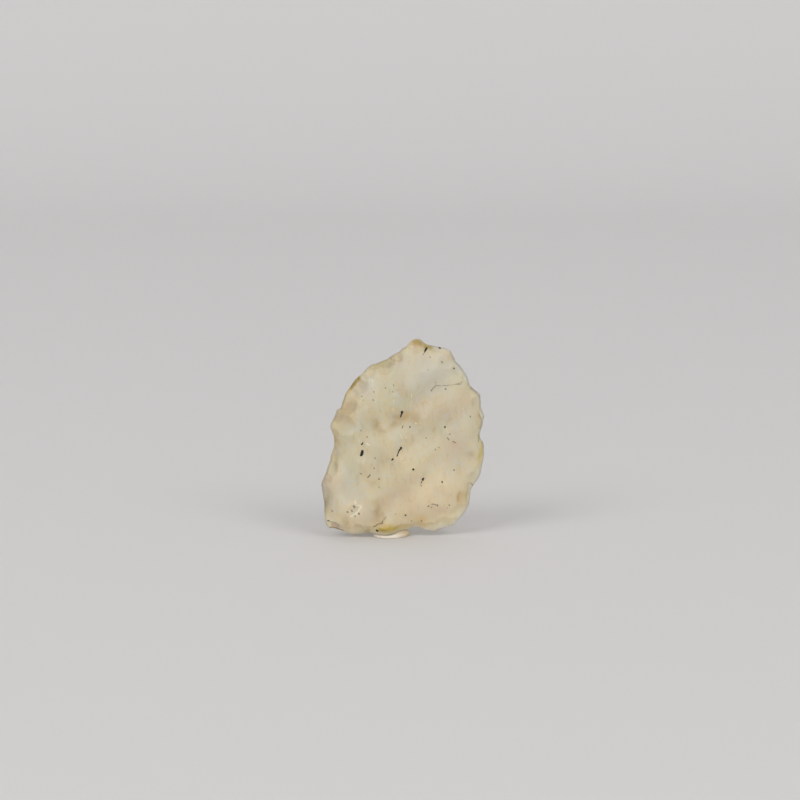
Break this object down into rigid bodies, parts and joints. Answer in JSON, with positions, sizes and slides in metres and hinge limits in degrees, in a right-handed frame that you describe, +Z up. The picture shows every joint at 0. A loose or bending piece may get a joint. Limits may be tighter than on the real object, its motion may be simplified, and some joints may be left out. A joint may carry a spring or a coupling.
{
  "type": "libyan desert glass",
  "caption": "Flat pale yellow flake of natural desert glass with a scalloped chipped edge, standing upright on a small squashed dab of putty.",
  "frame": {"origin": "bottom centre of the bounding box, on the surface that the putty stands on", "axes": "+Z up the flake, +X across it to the right as seen from the front, +Y back through its thickness; the face that shows most looks towards -Y"},
  "size_m": [0.0286, 0.0094, 0.0355],
  "materials": {
    "desert_glass": "cloudy, wind-worn satin",
    "putty": "satin"
  },
  "bodies": {
    "root": {"desert_glass": "desert_glass", "putty_pad": "putty"}
  },
  "joints": []
}
